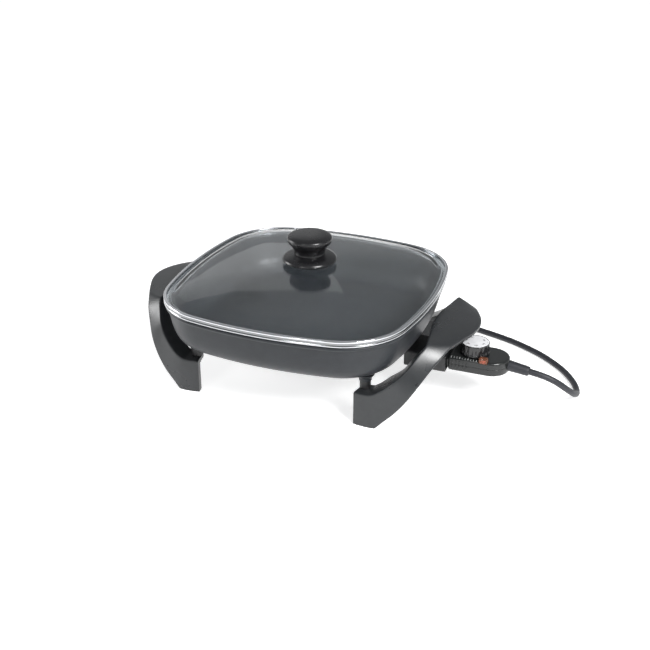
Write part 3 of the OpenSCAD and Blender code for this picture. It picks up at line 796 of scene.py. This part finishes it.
def nose(side, inset, x_inset, roof):
    """The narrow part that enters the guard, as rings along x."""
    w, r = NOSE_W - inset, max(2.2 - inset, 0.4)
    rings = []
    for x, grow in ((NOSE_X + x_inset, -0.6 if inset == 0 else 0), (NOSE_X + x_inset + 0.7, 0),
                    (BODY_X + 4, 0)):
        ring = [(-w - grow, 0.1 - inset), (w + grow, 0.1 - inset)]
        for k in range(6):
            a = math.radians(90 * k / 5)
            ring.append((w + grow - r + r * math.cos(a), roof + grow - r + r * math.sin(a)))
        for k in range(6):
            a = math.radians(90 + 90 * k / 5)
            ring.append((r - w - grow + r * math.cos(a), roof + grow - r + r * math.sin(a)))
        rings.append([(x, y, PROBE_Z + side * z) for y, z in ring])
    return rings


def tool(*solids):
    bm = bmesh.new()
    for rings in solids:
        add_loft(bm, rings)
    return mesh_piece("tool", bm)


def rod_rings(x0, x1, y, z, radius, count=32):
    return [[(x, y + p, z + q) for p, q, _ in circle(radius, 0, count=count)] for x in (x0, x1)]


def post_rings(profile, centre, count=24):
    return [circle(r, z, centre, count) for r, z in profile]


def make_shell(name, side):
    """The housing's upper half (side 1) or lower half (side -1), hollow."""
    bm = bmesh.new()
    add_loft(bm, [housing(inset, PROBE_Z + side * z) for inset, z in HOUSING_EDGE])
    piece = mesh_piece(name, bm)
    cut(piece, tool(nose(side, 0, 0, NOSE_H)), "UNION")
    cut(piece, tool([housing(2, PROBE_Z + side * z) for z in (-1, CONTROL_H - 2)]))
    cut(piece, tool(nose(side, 2, 2, NOSE_H - 1.6)))
    ends = [rod_rings(NOSE_X - 2, NOSE_X + 4, y, PROBE_Z, r)
            for y, r in ((-PIN_Y, 3.5), (0, 3.1), (PIN_Y, 3.5))]
    ends.append(rod_rings(END_X + 10, END_X + 30, 0, PROBE_Z, 4.6))
    cut(piece, tool(*ends))
    ribs = []
    for k in range(RIBS):
        for y in (-HALF_CONTROL, HALF_CONTROL):
            profile = [(0.1, 0.6), (0.75, 0.9), (0.85, 1.6), (0.85, 4.6), (0.6, 5.3), (0.1, 5.6)]
            ribs.append(post_rings([(r, PROBE_Z + side * z) for r, z in profile],
                                   (RIB_X + RIB_PITCH * k, y), 14))
    cut(piece, tool(*ribs), "UNION")
    return piece


def make_control_top():
    piece = make_shell("control_top_moulded", 1)
    top = PROBE_Z + CONTROL_H
    hole = post_rings([(3.3, top - 4), (3.3, top + 2)], DIAL)
    window = [[(WINDOW_C[0] + p, WINDOW_C[1] + q, z) for p, q in rounded_rect(5.45, 5.2, 0.8)]
              for z in (LENS_Z - 0.2, top + 4)]
    cut(piece, tool(hole, window))
    return piece


def make_control_bottom():
    piece = make_shell("control_bottom_moulded", -1)
    bores = [post_rings([(2.9, PROBE_Z - h - 1), (2.9, PROBE_Z - h + 1.2), (1.7, PROBE_Z - h + 1.2),
                         (1.7, PROBE_Z - h + 3)], (x, y)) for x, y, h in SCREWS]
    cut(piece, tool(*bores))
    return piece


def make_marks():
    """Printed marks that fold over the housing's rounded top edge."""
    bm = bmesh.new()
    for k in range(MARKS):
        x = MARK_X + MARK_PITCH * k
        long = k % 3 == 0
        path = HOUSING_EDGE[4:] + ([(4.2, CONTROL_H)] if long else [])
        half = 0.34 if long else 0.24
        rings = []
        for inset, z in path:
            y = inset - HALF_CONTROL
            rings.append([(x - half, y, PROBE_Z + z - 0.2), (x + half, y, PROBE_Z + z - 0.2),
                          (x + half, y - 0.03, PROBE_Z + z + 0.07),
                          (x - half, y - 0.03, PROBE_Z + z + 0.07)])
        add_loft(bm, rings)
    return mesh_piece("scale_marks_printed", bm)


def make_lens():
    """A rounded block, hollow from below, that stands proud of the housing's front edge."""
    half_x, half_y = (LENS_X[1] - LENS_X[0]) / 2, 3.25
    rings = []
    for z, inset in ((0, 0.2), (0.4, 0), (4.9, 0), (6, 0.25), (6.7, 0.8), (7.1, 1.6),
                     (7.2, 2.2)):
        rings.append([(LENS_C[0] + x, LENS_C[1] + y, LENS_Z + z) for x, y in
                      rounded_rect(half_x - inset, half_y - inset, max(1.5 - inset * 0.5, 0.5))])
    bm = bmesh.new()
    add_loft(bm, rings)
    piece = mesh_piece("indicator_lens_moulded", bm)
    hollow = [[(LENS_C[0] + x, LENS_C[1] + y, LENS_Z + z) for x, y in
               rounded_rect(half_x - 1.3 - inset, half_y - 1.1 - inset, 0.9)]
              for z, inset in ((-1, 0), (4, 0.1), (4.8, 0.6))]
    cut(piece, tool(hollow))
    return piece


def make_dial():
    """Shallow flutes between a plain foot and a rounded rim."""
    count = 12 * FLUTES
    profile = [
        (DIAL_R - 0.6, 0, 0), (DIAL_R - 0.1, 0.3, 0), (DIAL_R, 0.9, 0), (DIAL_R, 1.5, 0),
        (DIAL_R - 0.2, 2.1, 0.45), (DIAL_R - 0.4, 6, 0.6), (DIAL_R - 0.5, 10.4, 0.5),
        (DIAL_R - 0.6, 11.8, 0.1), (DIAL_R - 0.6, 12.4, 0), (DIAL_R - 0.7, 12.9, 0),
        (DIAL_R - 0.95, 13.3, 0), (DIAL_R - 1.25, 13.45, 0), (DIAL_R - 1.5, 13.25, 0),
        (DIAL_R - 1.55, 12.8, 0)]
    scale = (DIAL_TOP_Z - DIAL_BASE_Z) / max(z for _, z, _ in profile)
    rings = []
    for radius, z, depth in profile:
        ring = []
        for k in range(count):
            a = 2 * math.pi * k / count
            r = radius - depth * (0.5 - 0.5 * math.cos(FLUTES * a)) ** 2
            ring.append((DIAL[0] + r * math.cos(a), DIAL[1] + r * math.sin(a),
                         DIAL_BASE_Z + z * scale))
        rings.append(ring)
    return loft("dial_knob_fluted", rings)


def make_dial_face():
    low = DIAL_TOP_Z - 0.7
    profile = rounded_profile([(0.2, low), (FACE_R, low), (FACE_R, low + 0.4, 0.3),
                               (FACE_R - 0.9, low + 0.62, 0.3), (0.2, low + 0.66)])
    bm = bmesh.new()
    add_lathe(bm, profile, DIAL)
    return mesh_piece("dial_face_disc", bm)


def make_dial_print():
    """Numbers round the face, with a tick at each and one between."""
    low = DIAL_TOP_Z - 0.1
    bm = bmesh.new()
    for k in range(2 * NUMBERS - 1):
        angle = math.radians(FIRST_ANGLE + TICK_TURN * k)
        out = Vector((math.cos(angle), math.sin(angle)))
        across = Vector((-out.y, out.x)) * 0.16
        start, end = out * TICK_START_R[k % 2], out * TICK_END_R
        ring = [Vector(DIAL) + p for p in (start - across, start + across, end + across,
                                           end - across)]
        add_loft(bm, [[(*p, z) for p in ring] for z in (low, low + 0.12)])
    for k in range(NUMBERS):
        angle = math.radians(FIRST_ANGLE + 2 * TICK_TURN * k)
        text = bpy.data.curves.new("number", "FONT")
        text.body = str(FIRST_NUMBER + NUMBER_STEP * k)
        text.size = 3.1
        text.extrude = 0.05
        text.align_x = "CENTER"
        text.align_y = "CENTER"
        writer = bpy.data.objects.new("number", text)
        bpy.context.scene.collection.objects.link(writer)
        depsgraph = bpy.context.evaluated_depsgraph_get()
        mesh = bpy.data.meshes.new_from_object(writer.evaluated_get(depsgraph))
        at = Vector(DIAL) + NUMBER_R * Vector((math.cos(angle), math.sin(angle)))
        mesh.transform(Matrix.Translation((*at, low + 0.05))
                       @ Matrix.Rotation(angle + math.pi / 2, 4, "Z"))
        bm.from_mesh(mesh)
        bpy.data.objects.remove(writer)
    return mesh_piece("dial_print", bm, 20)


def make_boot():
    """The smooth boot round the cord, thinner towards its free end."""
    start, end = Vector((END_X + 20.6, 0, PROBE_Z - 0.4)), Vector(CORD_EXIT)
    along = (end - start).normalized()
    up = Vector((0, 1, 0)).cross(along).normalized() * -1
    rings = []
    for shift, radius in ((-4.6, 4.2), (-1.5, 4.4), (-1.2, 6.2), (0.4, 6.45), (1.6, 6.5),
                          (8, 6.3), (16, 6.05), (22, 5.85), (24.2, 5.7), (25.1, 5.3),
                          (25.5, 4.6), (25.55, 3.9)):
        centre = start + along * shift
        rings.append([centre + Vector((0, 1, 0)) * radius * math.cos(2 * math.pi * k / 40)
                      + up * radius * math.sin(2 * math.pi * k / 40) for k in range(40)])
    return loft("cord_boot", rings)


place(make_control_top(), "control", "control_black", "control_top")
place(make_control_bottom(), "control", "control_black", "control_bottom")
place(make_marks(), "control", "print_white", "scale_marks")
place(make_lens(), "control", "lens_orange", "indicator_lens")
place(make_boot(), "control", "cord_black", "strain_relief")
place(make_dial(), "dial", "dial_black", "dial_knob")
place(make_dial_face(), "dial", "dial_white", "dial_face")
place(make_dial_print(), "dial", "dial_print", "dial_marks")


# ---------- cord and plug ----------
PLUG = Vector(TAIL[-1])
BLADE_Y = 6.35                    # each blade's distance from the middle
BLADE_H = 3.2                     # half a blade's height


def make_plug():
    """A moulded plug: ringed collar, grooved grip and a flat face."""
    sections = [
        (4, 4.2, 4.2), (3.8, 5.0, 5.0), (3, 5.3, 5.3), (0.4, 5.4, 5.4), (0, 5.0, 5.0),
        (-0.8, 5.0, 5.0), (-1.2, 5.5, 5.5), (-3.2, 5.6, 5.6), (-3.6, 5.1, 5.1), (-4.4, 5.1, 5.1),
        (-4.8, 5.8, 5.7), (-7, 6.4, 6.1), (-9, 8.4, 7.2), (-11, 10.6, 8.4), (-13, 11.8, 9)]
    for groove in (-15, -19, -23):
        sections += [(groove, 12, 9), (groove - 0.6, 11.4, 8.5), (groove - 2, 11.4, 8.5),
                     (groove - 2.6, 12, 9)]
    sections += [(-32.4, 12, 9), (-33.4, 11.7, 8.7), (-34, 11, 8)]
    rings = []
    for shift, half_y, half_z in sections:
        radius = min(half_y, half_z) * (0.995 if shift > -6 else 0.55)
        rings.append([(PLUG.x + shift, PLUG.y + y, PLUG.z + z)
                      for y, z in rounded_rect(half_y, half_z, radius)])
    return loft("plug_body_moulded", rings, sharp=60)


def make_blades():
    """Two flat blades with rounded tips, each with a locking hole."""
    bm = bmesh.new()
    holes = bmesh.new()
    for side in (-1, 1):
        y = PLUG.y + BLADE_Y * side
        tip = [(PLUG.x - 33, PLUG.z - BLADE_H), (PLUG.x - 33, PLUG.z + BLADE_H)]
        for k in range(9):
            a = math.pi / 2 + math.pi * k / 8
            x = PLUG.x - 49.2 + 1.8 * math.copysign(abs(math.cos(a)) ** 0.6, math.cos(a))
            z = BLADE_H * math.copysign(abs(math.sin(a)) ** 0.6, math.sin(a))
            tip.append((x, PLUG.z + z))
        add_loft(bm, [[(x, y + thick, z) for x, z in tip] for thick in (-0.75, 0.75)])
        add_loft(holes, [[(PLUG.x - 45.5 + p, y + thick, PLUG.z + q)
                          for p, q, _ in circle(1.6, 0, count=24)] for thick in (-2, 2)])
    piece = mesh_piece("plug_blades_stamped", bm)
    cut(piece, mesh_piece("tool", holes))
    return piece


def make_tie():
    """A flat strap round the coil's far side, a little thicker along its middle."""
    middle = Vector((COIL_C.x, COIL_C.y + COIL_R, 12))
    inner = rounded_rect(4.6, 11, 3.6)
    outer = rounded_rect(5.6, 11.95, 4.5)
    rings = []
    for (y, z), (y2, z2) in zip(inner, outer):
        rings.append([middle + Vector(p) for p in
                      ((-2.6, y, z), (2.6, y, z), (3, (y + y2) / 2, (z + z2) / 2),
                       (2.6, y2, z2), (-2.6, y2, z2), (-3, (y + y2) / 2, (z + z2) / 2))])
    bm = bmesh.new()
    add_loft(bm, rings, closed=True)
    return mesh_piece("coil_tie_strap", bm)


place(make_plug(), "control", "plug_black", "plug_body")
place(make_blades(), "control", "insert_brass", "plug_blades")
place(make_tie(), "control", "tie_black", "coil_tie")
cord = curve_piece("mains_cord", cord_path(), CORD_D / 2)
place(cord, "control", "cord_black", "cord_tube", "cord_coil")


# ---------- the rest of the CAD nodes ----------
for row in frame["record"]["subparts"]:
    node = frame["nodes"][row["node"]]
    if not node.hide_render:
        node.data.materials.clear()
        node.data.materials.append(MATERIALS[row["material_slot"]].material)


# ---------- stage and light ----------
def make_floor():
    """A white sweep that glows a little, so that it stays pale where the lights fall off."""
    bm = bmesh.new()
    half = 6000
    bm.faces.new([bm.verts.new((x, y, 0)) for x, y in
                  ((-half, -half), (half, -half), (half, half), (-half, half))])
    floor = mesh_piece("floor", bm)
    surface = Surface("floor", (0.88, 0.88, 0.88), 0.7, Emission_Color=(1, 1, 1, 1),
                      Emission_Strength=0.66)
    floor.data.materials.append(surface.mottle(3, 0.01).material)


def area_light(name, at, target, size, power):
    data = bpy.data.lights.new(name, "AREA")
    data.shape = "RECTANGLE"
    data.size, data.size_y = size
    data.energy = power
    light = bpy.data.objects.new(name, data)
    light.location = at
    light.rotation_euler = (Vector(target) - Vector(at)).to_track_quat("-Z", "Y").to_euler()
    bpy.context.scene.collection.objects.link(light)


def make_light():
    world = bpy.data.worlds.new("world")
    world.use_nodes = True
    world.node_tree.nodes["Background"].inputs["Color"].default_value = (0.96, 0.98, 1, 1)
    world.node_tree.nodes["Background"].inputs["Strength"].default_value = 0.36
    bpy.context.scene.world = world
    area_light("key", (1.16, -0.70, 1.18), (0.18, -0.08, 0.07), (0.6, 0.6), 30)
    area_light("left", (-1.9, -0.30, 0.62), (-0.16, -0.08, 0.07), (0.8, 0.7), 16)
    area_light("front", (-0.35, -2.3, 1.5), (0, 0, 0.12), (0.35, 0.35), 7)
    area_light("back", (-1.9, 2.2, 1.5), (0, 0, 0.1), (2.4, 1.4), 3)


make_floor()
make_light()
bpy.context.scene.view_settings.view_transform = "Standard"
